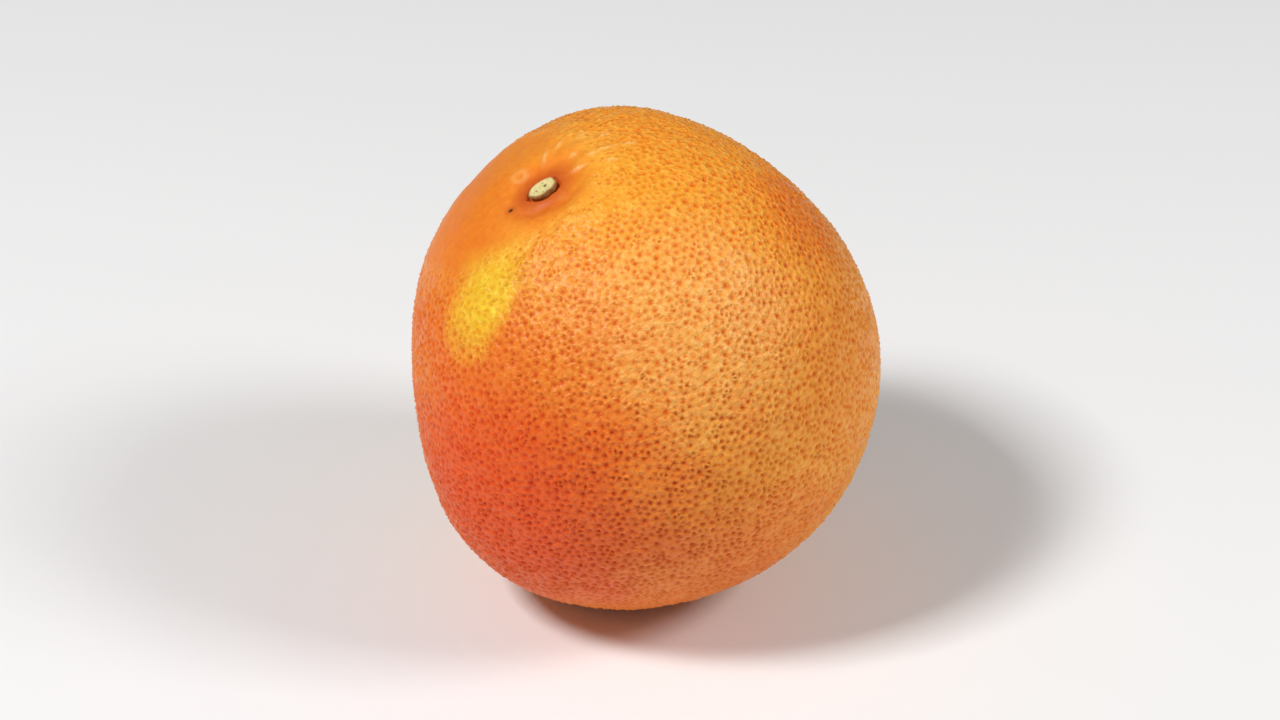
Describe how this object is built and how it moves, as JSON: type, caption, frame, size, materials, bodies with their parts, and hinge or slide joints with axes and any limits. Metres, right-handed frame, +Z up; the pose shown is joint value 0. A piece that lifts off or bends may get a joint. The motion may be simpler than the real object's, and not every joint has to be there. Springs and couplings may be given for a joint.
{
  "type": "grapefruit",
  "caption": "Whole pink grapefruit with a small woody stem button in a shallow crater, resting on a small flat spot.",
  "frame": {"origin": "on the resting surface, inside the flat spot, straight below the fruit's centre", "axes": "+Z up, away from the resting surface; the core leans 25 degrees from +Z, stem end up, towards -X and a little towards -Y; the pictured side faces -Y"},
  "size_m": [0.0989, 0.1015, 0.1046],
  "materials": {
    "peel": "pitted, waxy, satin",
    "button_wood": "dry, matte"
  },
  "bodies": {
    "root": {"fruit": "peel", "stem_button": "button_wood"}
  },
  "joints": []
}
